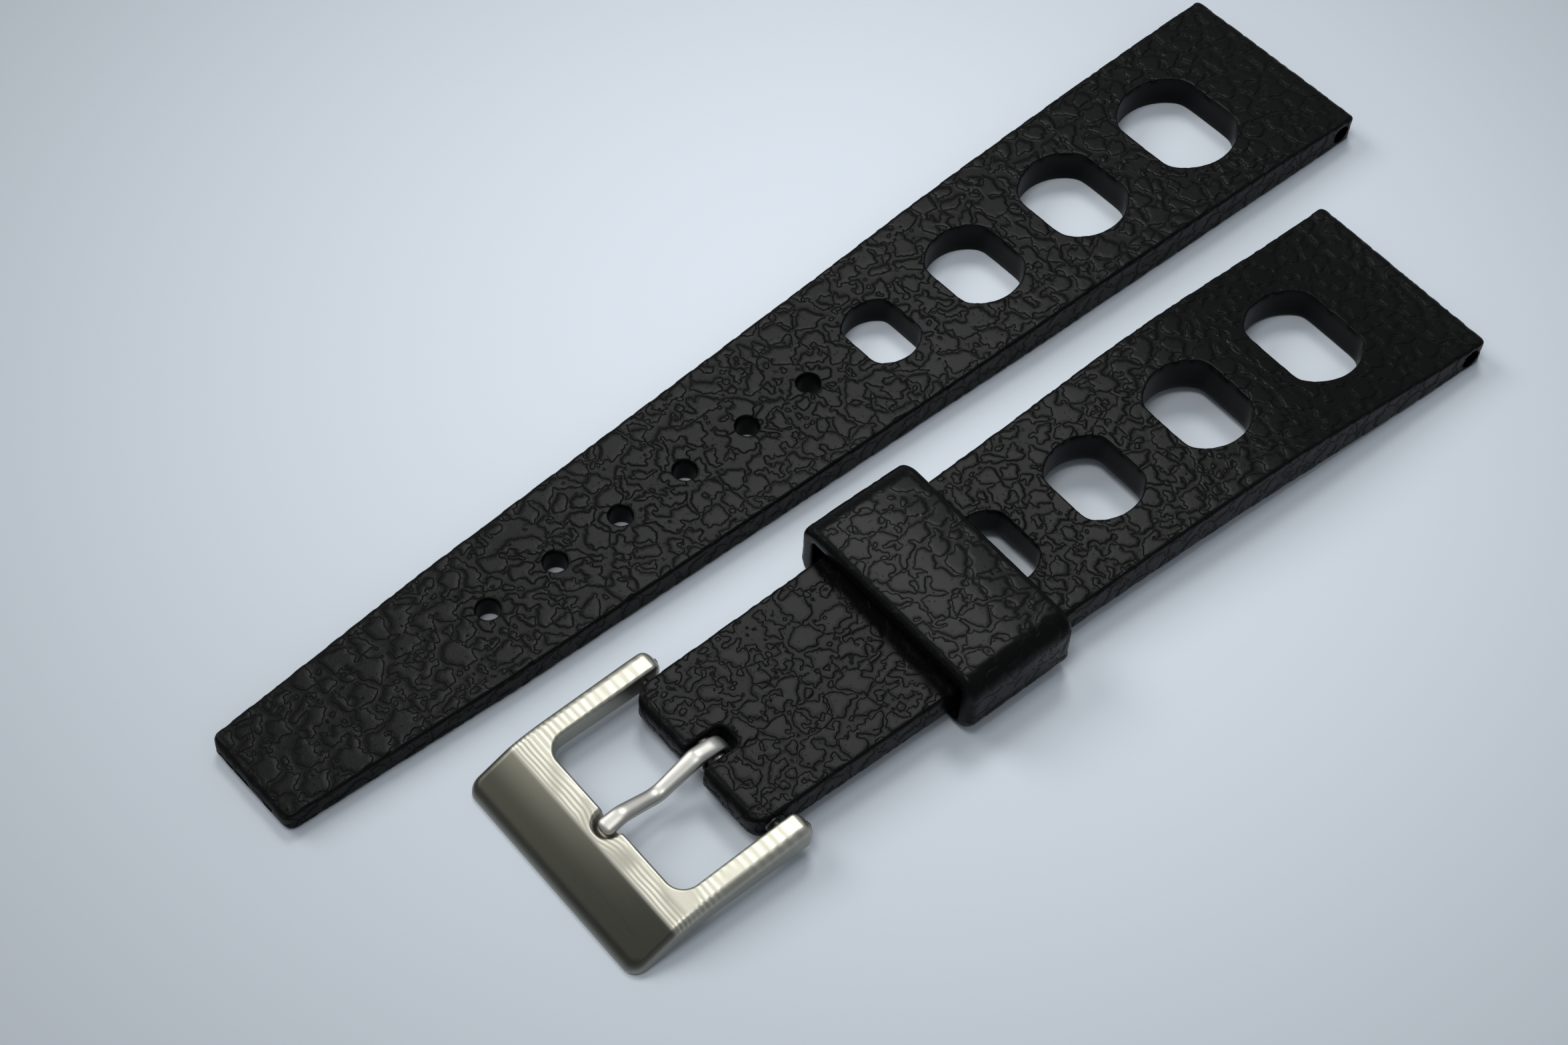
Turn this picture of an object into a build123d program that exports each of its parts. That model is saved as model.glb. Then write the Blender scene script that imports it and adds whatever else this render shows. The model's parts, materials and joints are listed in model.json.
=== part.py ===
from build123d import *
import os

# Two-piece rubber dive strap, lying flat as two halves side by side, in millimetres.
# X runs along the short half towards its lug end, Z is up, and the floor is at zero.

# Rubber halves
lug_width = 20.0
lug_corner_radius = 0.9
lug_thickness = 2.8
shoulder_thickness = 3.4
short_length = 81.4
short_end_width = 15.6
short_end_thickness = 2.7
short_end_corner_radius = 1.8
long_length = 118.8
tail_start_width = 12.8
tip_width = 9.9
tip_corner_radius = 1.0
tip_thickness = 2.1
side_edge_round = 0.9

# Where along a half each change of width or thickness falls, as shares of its length
short_waist_share = 0.49
short_shoulder_share = 0.27
short_level_share = 0.42
short_ramp_share = 0.05
long_waist_share = 0.34
long_shoulder_share = 0.17
long_level_share = 0.43
long_tail_share = 0.82
waist_width_share = 0.875
level_thickness_share = 0.86

# Round vent holes with two flats across the strap: place, radius and half length
vent_corner_radius = 0.8
short_vent_first = 13.2
short_vent_pitches = [13.1, 12.1, 11.2]
short_vent_radii = [5.25, 4.7, 4.25, 3.75]
short_vent_half_lengths = [4.15, 3.85, 3.4, 2.9]
long_vent_first = 13.9
long_vent_pitches = [13.7, 12.4, 11.3]
long_vent_radii = [5.55, 4.95, 4.4, 3.45]
long_vent_half_lengths = [4.65, 4.2, 3.7, 2.75]

# Holes for the tang in the long half
tang_hole_diameter = 2.1
tang_hole_first = 59.9
tang_hole_pitch = 7.0
tang_hole_count = 6

# Tunnels across the ends for the watch head's spring bars and the buckle's own
lug_tunnel_diameter = 1.9
lug_tunnel_inset = 1.9

# Keeper loop
keeper_length = 11.0
keeper_wall = 1.5
keeper_floor_wall = 1.0
keeper_side_play = 0.5
keeper_head_room = 1.3
keeper_corner_radius = 1.9
keeper_inner_radius = 0.35
keeper_sole_play = 0.1
keeper_from_lug = 50.6

# Spring bar inside the buckle end
bar_diameter = 1.8
bar_bore_diameter = 1.2
bar_end_clearance = 0.5
bar_from_end = 2.0
running_clearance = 0.05
crimp_length = 0.5
plunger_head_length = 1.5
pivot_diameter = 0.8
pivot_reach = 1.0
pivot_hole_depth = 1.2
spring_wire = 0.2
spring_end_gap = 0.05
spring_turns = 18

# Buckle frame
arm_width = 2.15
arm_gap = 0.6
arm_height = 2.5
arm_tip_reach = 2.0
window_reach = 9.8
window_corner_radius = 1.6
ridge_reach = 11.8
front_reach = 16.1
front_edge_height = 0.9
front_undercut = 0.15
sole_width = 1.6
ridge_drop = 1.0
window_drop = 0.6
frame_corner_radius = 1.0
frame_edge_round = 0.5
arm_tip_radius = 0.8
arm_end_radius = 0.9
arm_bend_radius = 8.0
ridge_radius = 1.5
notch_width = 2.3
notch_length = 1.5

# Tang
tang_width = 1.6
tang_thickness = 0.9
tang_eye_diameter = 3.0
tang_rise = 1.25
tang_crest_reach = 1.6
tang_knee_reach = 5.4
tang_knee_drop = 0.35
tang_rest_reach = 8.9
tang_rest_rise = 0.45
tang_tip_reach = 10.7
tang_tip_rise = 0.1
slot_width = 2.3
slot_from_bar = 1.95
slot_corner_radius = 0.7
tang_seat_clearance = 0.06

# Place of the long half beside the short one
halves_gap_along = 10.0
halves_gap_across = 25.7
long_half_turn = 2.3

# One overrun serves every through cut
cut_overrun = 2.0

# Heights and places worked out from the sizes above
sole_rise = keeper_floor_wall + keeper_sole_play
level_thickness = shoulder_thickness * level_thickness_share
keeper_height = keeper_floor_wall + keeper_sole_play + level_thickness + keeper_head_room + keeper_wall
bar_x = bar_from_end - short_length
bar_z = sole_rise + short_end_thickness / 2
arm_inner = short_end_width / 2 + arm_gap
arm_outer = arm_inner + arm_width
bar_half_length = arm_inner - bar_end_clearance
spring_half_length = bar_half_length - crimp_length - plunger_head_length - spring_end_gap
overall_height = keeper_height + cut_overrun


def half_width_at(distance, stations):
    """Half width of a half at a distance from its lug end, on straight runs between stations."""
    for (near, wide), (far, narrow) in zip(stations, stations[1:]):
        if distance <= far:
            return wide + (narrow - wide) * (distance - near) / (far - near)
    return stations[-1][1]


def plan_block(stations, lug_radius, end_radius):
    """Outline seen from above, with rounded corners, as a tall block to be cut to thickness."""
    upper = [(-distance, half) for distance, half in stations]
    lower = [(x, -y) for x, y in reversed(upper)]
    outline = make_face(Polyline(*upper, *lower, close=True))
    lug_corners = outline.vertices().group_by(Axis.X)[-1]
    outline = fillet(lug_corners, lug_radius)
    end_corners = outline.vertices().group_by(Axis.X)[0]
    outline = fillet(end_corners, end_radius)
    return extrude(outline, overall_height)


def side_block(lower_line, upper_line, width, end_radius):
    """Side profile between two lines that run from the lug end, as a slab across the strap."""
    lug_end = Line(lower_line @ 0, upper_line @ 0)
    far_end = Line(lower_line @ 1, upper_line @ 1)
    profile = make_face([lower_line, far_end, upper_line, lug_end])
    ends = profile.vertices().group_by(Axis.X)
    profile = fillet(ends[0] + ends[-1], end_radius)
    return extrude(Plane.XZ * profile, width, both=True)


def vent_cutters(first, pitches, radii, half_lengths):
    """Through holes: a circle cut off by two flats, each shorter and narrower than the last."""
    cutters = []
    place = first
    for radius, half_length, step in zip(radii, half_lengths, [0.0] + pitches):
        place += step
        shape = Circle(radius) & Rectangle(2 * half_length, 2 * radius)
        shape = fillet(shape.vertices(), vent_corner_radius)
        cutters.append(Pos(-place, 0, -cut_overrun) * extrude(shape, overall_height + cut_overrun))
    return cutters


def tunnel(diameter, x, z):
    """Hole right across a half for a spring bar."""
    return Pos(x, 0, z) * Rot(90, 0, 0) * Cylinder(diameter / 2, lug_width + cut_overrun)


def make_short_strap():
    """Buckle half: rises from the floor at its lug end to pass over the keeper's sole."""
    stations = [
        (0, lug_width / 2),
        (short_length * short_waist_share, lug_width / 2 * waist_width_share),
        (short_length, short_end_width / 2),
    ]
    ramp_start = (-short_length * short_ramp_share, 0)
    ramp_end = (-short_length * short_level_share, sole_rise)
    shoulder = (-short_length * short_shoulder_share, sole_rise + shoulder_thickness)
    level = (-keeper_from_lug, sole_rise + level_thickness)
    lower = Wire([
        Line((0, 0), ramp_start),
        Spline(ramp_start, ramp_end, tangents=((-1, 0), (-1, 0))),
        Line(ramp_end, (-short_length, sole_rise)),
    ])
    upper = Wire([
        Spline((0, lug_thickness), shoulder, level, tangents=((-1, 0), (-1, 0))),
        Line(level, (-short_length, sole_rise + short_end_thickness)),
    ])
    strap = plan_block(stations, lug_corner_radius, short_end_corner_radius)
    strap &= side_block(lower, upper, lug_width, side_edge_round)
    for cutter in vent_cutters(
        short_vent_first, short_vent_pitches, short_vent_radii, short_vent_half_lengths
    ):
        strap -= cutter
    strap -= tunnel(lug_tunnel_diameter, -lug_tunnel_inset, lug_thickness / 2)
    strap -= tunnel(bar_diameter + 2 * running_clearance, bar_x, bar_z)
    return strap - tang_slot()


def tang_slot():
    """Slot at the middle of the buckle end, open at the end, for the tang's eye."""
    inner_end = bar_x + slot_from_bar
    length = inner_end + short_length + cut_overrun
    shape = Pos(inner_end - length / 2, 0) * Rectangle(length, slot_width)
    shape = fillet(shape.vertices().group_by(Axis.X)[-1], slot_corner_radius)
    return extrude(shape, overall_height)


def make_long_strap():
    """Hole half: flat on the floor, thickest near its lug end and thinnest at its tip."""
    stations = [
        (0, lug_width / 2),
        (long_length * long_waist_share, lug_width / 2 * waist_width_share),
        (long_length * long_tail_share, tail_start_width / 2),
        (long_length, tip_width / 2),
    ]
    shoulder = (-long_length * long_shoulder_share, shoulder_thickness)
    level = (-long_length * long_level_share, level_thickness)
    lower = Wire([Line((0, 0), (-long_length, 0))])
    upper = Wire([
        Spline((0, lug_thickness), shoulder, level),
        Line(level, (-long_length, tip_thickness)),
    ])
    strap = plan_block(stations, lug_corner_radius, tip_corner_radius)
    strap &= side_block(lower, upper, lug_width, tip_thickness * level_thickness_share / 2)
    for cutter in vent_cutters(
        long_vent_first, long_vent_pitches, long_vent_radii, long_vent_half_lengths
    ):
        strap -= cutter
    for index in range(tang_hole_count):
        place = tang_hole_first + index * tang_hole_pitch
        strap -= Pos(-place, 0, 0) * Cylinder(tang_hole_diameter / 2, overall_height)
    return strap - tunnel(lug_tunnel_diameter, -lug_tunnel_inset, lug_thickness / 2)


def make_keeper():
    """Rubber loop round the buckle half: rounded outside, with a thin sole under the strap."""
    inner_width = 2 * half_width_at(
        keeper_from_lug,
        [
            (short_length * short_waist_share, lug_width / 2 * waist_width_share),
            (short_length, short_end_width / 2),
        ],
    ) + 2 * keeper_side_play
    inner_height = keeper_height - keeper_floor_wall - keeper_wall
    outer = RectangleRounded(inner_width + 2 * keeper_wall, keeper_height, keeper_corner_radius)
    inner = RectangleRounded(inner_width, inner_height, keeper_inner_radius)
    inner_centre = keeper_floor_wall + inner_height / 2
    section = Pos(0, keeper_height / 2) * outer - Pos(0, inner_centre) * inner
    loop = extrude(Plane.YZ * section, keeper_length)
    return Pos(-keeper_from_lug - keeper_length, 0, 0) * loop


def bar_solid(radius, start, end):
    """Round bar on the buckle's axis between two places across the strap."""
    return Pos(0, (start + end) / 2, 0) * Rot(90, 0, 0) * Cylinder(radius, end - start)


def make_bar_tube():
    """Spring bar's tube, with both ends crimped in round the pivots."""
    tube = bar_solid(bar_diameter / 2, -bar_half_length, bar_half_length)
    bore_end = bar_half_length - crimp_length
    tube -= bar_solid(bar_bore_diameter / 2, -bore_end, bore_end)
    neck_radius = pivot_diameter / 2 + running_clearance
    return tube - bar_solid(neck_radius, -bar_half_length - cut_overrun, bar_half_length + cut_overrun)


def make_plunger():
    """Pivot at the far side: a head trapped in the tube, and a thin end that enters the arm."""
    head_end = bar_half_length - crimp_length
    head = bar_solid(
        bar_bore_diameter / 2 - running_clearance, head_end - plunger_head_length, head_end
    )
    return head + bar_solid(pivot_diameter / 2, head_end, arm_inner + pivot_reach)


def make_bar_spring():
    """Coil between the two plungers, one unbroken wire on a helix."""
    coil_radius = bar_bore_diameter / 2 - running_clearance - spring_wire
    height = 2 * spring_half_length - spring_wire
    path = Helix(pitch=height / spring_turns, height=height, radius=coil_radius)
    section = Plane(origin=path @ 0, z_dir=path % 0) * Circle(spring_wire / 2)
    coil = sweep(section, path=path, is_frenet=True)
    return Rot(90, 0, 0) * Pos(0, 0, -height / 2) * coil


def make_buckle_frame():
    """Two arms joined by a front plate that slopes down to the floor from a ridge."""
    outline = make_face(Polyline(
        (arm_tip_reach, arm_outer), (-front_reach, arm_outer),
        (-front_reach, -arm_outer), (arm_tip_reach, -arm_outer), close=True,
    ))
    window_length = window_reach + arm_tip_reach + cut_overrun
    window = Pos(window_length / 2 - window_reach, 0) * Rectangle(window_length, 2 * arm_inner)
    window = fillet(window.vertices().group_by(Axis.X)[0], window_corner_radius)
    outline -= window
    outline = fillet(outline.vertices().group_by(Axis.X)[0], frame_corner_radius)
    outline = fillet(outline.vertices().group_by(Axis.X)[-1], arm_tip_radius)
    plan = Pos(0, 0, -overall_height) * extrude(outline, 2 * overall_height)
    frame = plan & frame_side_block()
    for side in (-1, 1):
        start = side * (arm_inner - cut_overrun)
        end = side * (arm_inner + pivot_hole_depth)
        hole_radius = pivot_diameter / 2 + running_clearance
        frame -= bar_solid(hole_radius, min(start, end), max(start, end))
    return frame - tang_notch()


def frame_side_block():
    """Side profile of the buckle, with soft outer rims: level arms, a ridge and a sloping front."""
    top = arm_height / 2
    floor = -bar_z
    corners = [
        ((arm_tip_reach, top), arm_end_radius),
        ((0, top), arm_bend_radius),
        ((-window_reach, top - window_drop), arm_bend_radius),
        ((-ridge_reach, top - ridge_drop), ridge_radius),
        ((-front_reach, floor + front_edge_height), frame_edge_round),
        ((-front_reach + front_undercut, floor), frame_edge_round / 2),
        ((-front_reach + sole_width, floor), frame_edge_round),
        ((-window_reach, -top), arm_bend_radius / 2),
        ((arm_tip_reach, -top), arm_end_radius),
    ]
    profile = make_face(Polyline(*[corner for corner, _ in corners], close=True))
    for corner, radius in corners:
        vertex = profile.vertices().sort_by_distance(corner)[0]
        profile = fillet(vertex, radius)
    block = extrude(Plane.XZ * profile, arm_outer, both=True)
    rims = [edge for edge in block.edges() if abs(edge.center().Y) > arm_inner]
    return fillet(rims, frame_edge_round)


def tang_notch():
    """Seat in the window's front edge, where the tang's tip rests."""
    floor = tang_tip_rise - tang_thickness / 2 - tang_seat_clearance
    shape = Pos(-window_reach, 0) * Rectangle(2 * notch_length, notch_width)
    shape = fillet(shape.vertices().group_by(Axis.X)[0], notch_width / 2 - running_clearance)
    return Pos(0, 0, floor) * extrude(shape, overall_height)


def make_buckle_tang():
    """Cranked tang: an eye on the spring bar, a crest, a knee and a tip that seats in the notch."""
    centre_line = [
        (0, tang_rise),
        (-tang_crest_reach, tang_rise),
        (-tang_knee_reach, -tang_knee_drop),
        (-tang_rest_reach, tang_rest_rise),
        (-tang_tip_reach, tang_tip_rise),
    ]
    path = FilletPolyline(*centre_line, radius=tang_thickness)
    strip = trace(path, tang_thickness)
    profile = strip + Circle(tang_eye_diameter / 2)
    profile -= Circle(bar_diameter / 2 + running_clearance)
    return extrude(Plane.XZ * profile, tang_width / 2, both=True)


def make_parts():
    """Every piece by name, the buckle's own pieces moved to the spring bar's place."""
    at_bar = Pos(bar_x, 0, bar_z)
    beside = Pos(halves_gap_along, halves_gap_across, 0) * Rot(0, 0, long_half_turn)
    return {
        "short_strap": make_short_strap(),
        "long_strap": beside * make_long_strap(),
        "keeper": make_keeper(),
        "buckle_frame": at_bar * make_buckle_frame(),
        "buckle_tang": at_bar * make_buckle_tang(),
        "spring_bar_tube": at_bar * make_bar_tube(),
        "spring_bar_plunger_left": at_bar * make_plunger(),
        "spring_bar_plunger_right": at_bar * Rot(0, 0, 180) * make_plunger(),
        "spring_bar_spring": at_bar * make_bar_spring(),
    }


def main():
    """Centre the whole on its own box, with the floor at zero, and write every piece."""
    os.makedirs("parts", exist_ok=True)
    parts = make_parts()
    box = Compound(children=[Compound(part.solids()) for part in parts.values()]).bounding_box()
    centre = box.center()
    for name, part in parts.items():
        placed = Pos(-centre.X, -centre.Y, 0) * part
        export_step(Compound(placed.solids()), f"parts/{name}.step")
    print("lug end of the short half:", -centre.X, -centre.Y)
    print("buckle axis:", bar_x - centre.X, -centre.Y, bar_z)
    print("lug end of the long half:", halves_gap_along - centre.X, halves_gap_across - centre.Y)
    print("keeper height:", keeper_height, "arm inner:", arm_inner, "arm outer:", arm_outer)


main()
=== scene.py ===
import json
import math
from functools import partial
import bmesh
import bpy
import numpy as np
from mathutils import Matrix, Vector


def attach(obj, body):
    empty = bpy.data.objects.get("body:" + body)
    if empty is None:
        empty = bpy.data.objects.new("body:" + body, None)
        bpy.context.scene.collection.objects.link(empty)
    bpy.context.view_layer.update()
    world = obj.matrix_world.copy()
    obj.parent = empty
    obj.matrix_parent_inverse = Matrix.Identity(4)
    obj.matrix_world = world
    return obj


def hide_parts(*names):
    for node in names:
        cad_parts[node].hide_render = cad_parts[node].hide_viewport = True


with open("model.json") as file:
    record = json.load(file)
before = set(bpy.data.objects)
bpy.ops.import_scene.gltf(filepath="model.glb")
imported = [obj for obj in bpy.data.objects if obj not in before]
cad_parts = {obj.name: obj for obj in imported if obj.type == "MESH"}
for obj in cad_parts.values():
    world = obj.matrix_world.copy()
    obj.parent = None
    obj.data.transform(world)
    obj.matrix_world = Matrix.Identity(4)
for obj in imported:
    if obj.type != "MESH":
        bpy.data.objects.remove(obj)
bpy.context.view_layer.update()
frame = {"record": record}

# Buckle half of the strap
# One moulding of black rubber, with a grain of raised islands all over its top and sides.
# It lies on its lug end and rises over the keeper's sole; its vents and slot are cut clean through.

MM = 0.001
record = frame["record"]


def entry_named(entries, name):
    """The one of a list of the record's entries that has a name."""
    return [entry for entry in entries if entry["name"] == name][0]


def mount_place(name):
    """Middle and axis of one of the frame's mounts."""
    mount = entry_named(record["mounts"], name)
    return np.array(mount["pos_m"]), np.array(mount["axis"])


def half_place(mount_name):
    """Middle of a half's lug end, and the directions along it and across it, from its lug bore."""
    middle, axis = mount_place(mount_name)
    across = axis * np.sign(axis[1])
    along = np.array([across[1], -across[0], 0.0])
    middle = middle + along * lug_inset
    middle[2] = 0.0
    return middle, along, across


def arc(centre, radius, start_deg, end_deg, count):
    """Points and outward normals of a circle's arc, at even steps of angle."""
    angle = np.radians(np.linspace(start_deg, end_deg, count + 1))
    normal = np.stack([np.cos(angle), np.sin(angle)], -1)
    return np.array(centre) + radius * normal, normal


def line(start, end, count):
    """Points of a straight line at even steps."""
    share = np.linspace(0, 1, count + 1)[:, None]
    return np.array(start) * (1 - share) + np.array(end) * share


def run(start, end, count, normal):
    """Points of a straight run of an outline, all with one outward normal."""
    return line(start, end, count), np.tile(np.array(normal, float), (count + 1, 1))


def chain(pieces):
    """One outline from pieces of (points, normals), with joints shared, and where each piece ends."""
    points, normals, ends = [], [], []
    for run_points, run_normals in pieces:
        keep = slice(1 if points else 0, None)
        points.append(run_points[keep])
        normals.append(run_normals[keep])
        ends.append(sum(len(p) for p in points) - 1)
    return np.concatenate(points), np.concatenate(normals), ends


def quarter(steps):
    """Sines, and ones less cosines, of a quarter turn's even steps, the ends among them."""
    angle = np.linspace(0, math.pi / 2, steps + 1)
    return list(zip(np.sin(angle), 1 - np.cos(angle)))


def side_skin(outline, normals, top, bottom, edge, foot_edge, round_steps, wall_steps):
    """Rounded edge, wall and rounded edge down the side of a flat piece.

    At each outline point the profile is a quarter circle of the edge's radius from the top
    face, a straight wall, and a quarter circle of the foot edge's radius into the underside.
    """
    edge, foot_edge = (np.broadcast_to(radius, len(outline)) for radius in (edge, foot_edge))
    rows = []
    for sine, drop in quarter(round_steps):
        rows.append(lift(outline - normals * edge[:, None] * (1 - sine), lambda at: top(at) - edge * drop))
    high, low = top(outline) - edge, bottom(outline) + foot_edge
    for share in np.linspace(0, 1, wall_steps + 1)[1:]:
        rows.append(np.column_stack([outline, high * (1 - share) + low * share]))
    for sine, drop in quarter(round_steps)[-2::-1]:
        xy = outline - normals * foot_edge[:, None] * (1 - sine)
        rows.append(lift(xy, lambda at: bottom(at) + foot_edge * drop))
    return np.stack(rows)


def patch(near, far, left, right):
    """Coons patch: the surface that blends four border lines, near and far running left to right."""
    v = np.linspace(0, 1, len(left))[:, None, None]
    u = np.linspace(0, 1, len(near))[None, :, None]
    ruled = (1 - v) * near[None] + v * far[None] + (1 - u) * left[:, None] + u * right[:, None]
    corners = (1 - u) * (1 - v) * near[0] + u * (1 - v) * near[-1] + (1 - u) * v * far[0] + u * v * far[-1]
    return ruled - corners


def eased(share):
    """A share from 0 to 1 that starts and stops gently."""
    return share * share * (3 - 2 * share)


def lift(xy, height):
    """Plan points with the height of a surface that is a function of the plan."""
    z = height(xy.reshape(-1, 2)).reshape(xy.shape[:-1])
    return np.concatenate([xy, z[..., None]], -1)


def vent_reach(angle, radius, half_length):
    """Distance from a vent's centre to its rim: a circle cut by two flats, the corners eased.

    The reciprocal of the reach is the 26-norm of the two reciprocals, so the smaller of the
    circle's radius and the flat's reach wins and the corner between them is round.
    """
    corner_power = 26
    flat = np.abs(np.cos(angle)) / half_length
    return (radius ** -corner_power + flat ** corner_power) ** (-1 / corner_power)


def hole_block(outer, centre, radius, half_length, top, bottom):
    """Half of the strap round one hole, from the underside up the hole's wall to the top face.

    Each column is a straight line in plan from the hole's rim to one point of the block's border.
    Gives the surface and, for each point, how much of the grain it carries.
    """
    ray = outer - centre
    full = np.linalg.norm(ray, axis=1)
    angle = np.arctan2(ray[:, 1], ray[:, 0])
    reach = vent_reach(angle, radius, half_length)
    start = reach + vent_rim_round
    unit = np.stack([np.cos(angle), np.sin(angle)], -1)
    rim = centre + unit * reach[:, None]
    low, high = bottom(rim) + vent_rim_round, top(rim) - vent_rim_round
    rows, grain = [], []

    def add(distance, height, share):
        rows.append(lift(centre + unit * distance[:, None], height))
        grain.append(np.full(len(unit), share))

    for share in np.linspace(1, 0, hole_floor_rows + 1):
        add(start + (full - start) * share, bottom, 0)
    for sine, drop in quarter(hole_rim_rows)[1:]:
        add(start - vent_rim_round * sine, lambda xy: bottom(xy) + vent_rim_round * drop, 0)
    for share in np.linspace(0, 1, hole_wall_rows + 1)[1:]:
        add(reach, lambda xy: low * (1 - share) + high * share, 0)
    for sine, drop in quarter(hole_rim_rows)[1:]:
        add(reach + vent_rim_round * drop, lambda xy: top(xy) - vent_rim_round * (1 - sine), sine)
    top_rows = round((full.max() - radius) / mesh_step * ring_share)
    for share in np.linspace(0, 1, top_rows + 1)[1:]:
        add(start + (full - start) * share, top, 1)
    return np.stack(rows), np.stack(grain)


def sew(name, grids, mirrored=True):
    """One closed mesh from grids of (points, grain share): each a sheet of quads, joined where they meet.

    With mirrored, every grid is also laid on the other side of the middle line, where y is zero.
    """
    points, shares, faces, first = [], [], [], 0
    for surface, share in grids:
        for side in ((1, -1) if mirrored else (1,)):
            rows, columns = surface.shape[:2]
            number = first + np.arange(rows * columns).reshape(rows, columns)
            quad = np.stack([number[:-1, :-1], number[:-1, 1:], number[1:, 1:], number[1:, :-1]], -1)
            points.append((surface * [1, side, 1]).reshape(-1, 3))
            shares.append(share.ravel())
            faces.append(quad.reshape(-1, 4))
            first += rows * columns
    mesh = bpy.data.meshes.new(name)
    mesh.from_pydata(np.concatenate(points), [], np.concatenate(faces))
    mesh.attributes.new("grain_share", "FLOAT", "POINT").data.foreach_set("value", np.concatenate(shares))
    sheet = bmesh.new()
    sheet.from_mesh(mesh)
    bmesh.ops.remove_doubles(sheet, verts=sheet.verts, dist=weld_distance)
    bmesh.ops.recalc_face_normals(sheet, faces=sheet.faces)
    if sheet.calc_volume(signed=True) < 0:
        bmesh.ops.reverse_faces(sheet, faces=sheet.faces)
    sheet.to_mesh(mesh)
    sheet.free()
    mesh.polygons.foreach_set("use_smooth", np.ones(len(mesh.polygons), bool))
    return mesh


def mesh_points(mesh):
    """A mesh's points as an array."""
    points = np.empty(len(mesh.vertices) * 3)
    mesh.vertices.foreach_get("co", points)
    return points.reshape(-1, 3)


def move_points(mesh, points):
    """Puts a mesh's points where an array says."""
    mesh.vertices.foreach_set("co", points.ravel())
    mesh.update()


def turned(value, bits):
    """Whole numbers of 32 bits with their bits turned round to the left."""
    return (value << np.uint32(bits)) | (value >> np.uint32(32 - bits))


def last_mix(a, b, c):
    """Last seven steps of the hash of three numbers, for lattice points and cells alike."""
    for x, y, z, bits in ((c, b, b, 14), (a, c, c, 11), (b, a, a, 25), (c, b, b, 16),
                          (a, c, c, 4), (b, a, a, 14), (c, b, b, 24)):
        x ^= y
        x -= turned(z, bits)
    return c


def lattice_noise(position):
    """Gradient noise: each lattice point has a slope from its hashed number, blended by a quintic.

    The hash, the slopes and the 0.982 are those of the Noise Texture at no detail, so the
    relief in the mesh follows the same islands as the shader's.
    """
    cell = np.floor(position)
    inside = position - cell
    number = cell.astype(np.int64).astype(np.uint32)
    ease = inside ** 3 * (inside * (inside * 6 - 15) + 10)

    def slope(corner):
        low = last_mix(*(hash_seed + number[:, axis] + np.uint32(corner[axis]) for axis in range(3)))
        low = low & np.uint32(15)
        x, y, z = (inside - corner).T
        first = np.where(low < 8, x, y)
        second = np.where(low < 4, y, np.where((low == 12) | (low == 14), x, z))
        return np.where(low & 1, -first, first) + np.where(low & 2, -second, second)

    total = np.zeros(len(position))
    for corner in np.ndindex(2, 2, 2):
        weight = np.prod(np.where(corner, ease, 1 - ease), axis=1)
        total += weight * slope(np.array(corner))
    return 0.982 * total


def cell_points(cells):
    """Where in each cell its point lies: three numbers from 0 to 1, hashed as the Voronoi Texture does.

    The first is the hash of the cell's three coordinates, the others of these and a fourth, 1 or 2.
    """
    bits = [np.ascontiguousarray(cells[:, axis], np.float32).view(np.uint32) for axis in range(3)]
    found = [last_mix(*(hash_seed + value for value in bits))]
    for fourth in (1.0, 2.0):
        a, b, c = (hash_seed + np.uint32(4) + value for value in bits)
        for x, y, z, turn in ((a, c, b, 4), (b, a, c, 6), (c, b, a, 8),
                              (a, c, b, 16), (b, a, c, 19), (c, b, a, 4)):
            x -= y
            x ^= turned(y, turn)
            y += z
        a += np.float32(fourth).view(np.uint32)
        found.append(last_mix(a, b, c))
    return np.stack(found, -1) / 0xFFFFFFFF


def cell_border(position):
    """Distance to the second nearest point of a Voronoi pattern less that to the nearest one."""
    cell = np.floor(position)
    nearest = np.full(len(position), 9.0)
    second = nearest.copy()
    for corner in np.ndindex(3, 3, 3):
        neighbour = cell + corner - 1
        away = np.linalg.norm(neighbour + cell_points(neighbour) - position, axis=1)
        second = np.minimum(second, np.maximum(nearest, away))
        nearest = np.minimum(nearest, away)
    return second - nearest


# The grain's field, in cells of its pattern: where it is above zero the rubber stands up as an island
hash_seed = np.uint32(0xDEADBEEF + (3 << 2) + 13)
grain_island_cell = 2.05 * MM
grain_gap = 0.17
grain_lobe_cell = 0.74 * MM
grain_lobe_gain = 0.37
grain_notch_cell = 0.38 * MM
grain_notch_gain = 0.17
lobe_shift = (0.011, 0.071, 0.003)
notch_shift = (0.005, 0.031, 0.013)


def grain_field(points):
    """Grain at points: the distance from the borders of Voronoi cells, less the gap, and two noises."""
    islands = cell_border(points / grain_island_cell)
    lobes = grain_lobe_gain * lattice_noise((points + lobe_shift) / grain_lobe_cell)
    notches = grain_notch_gain * lattice_noise((points + notch_shift) / grain_notch_cell)
    return islands - grain_gap + lobes + notches


def press_grain(mesh, depth):
    """Sinks the valleys between the islands along the surface's normals, as deep as the share says."""
    points = mesh_points(mesh)
    normals = np.empty(len(points) * 3)
    mesh.vertex_normals.foreach_get("vector", normals)
    share = np.empty(len(points))
    mesh.attributes["grain_share"].data.foreach_get("value", share)
    grained = share > 0
    rise = eased(np.clip(grain_field(points[grained]) / grain_softness + 0.5, 0, 1))
    fall = depth * share[grained] * (1 - rise)
    points[grained] -= normals.reshape(-1, 3)[grained] * fall[:, None]
    move_points(mesh, points)


def place_half(mesh, middle, along, across):
    """Lays a half that was made along x, its lug end at zero, where the frame has it."""
    points = mesh_points(mesh)
    move_points(mesh, middle + points[:, :1] * along + points[:, 1:2] * across + points[:, 2:] * [0, 0, 1])


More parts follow.
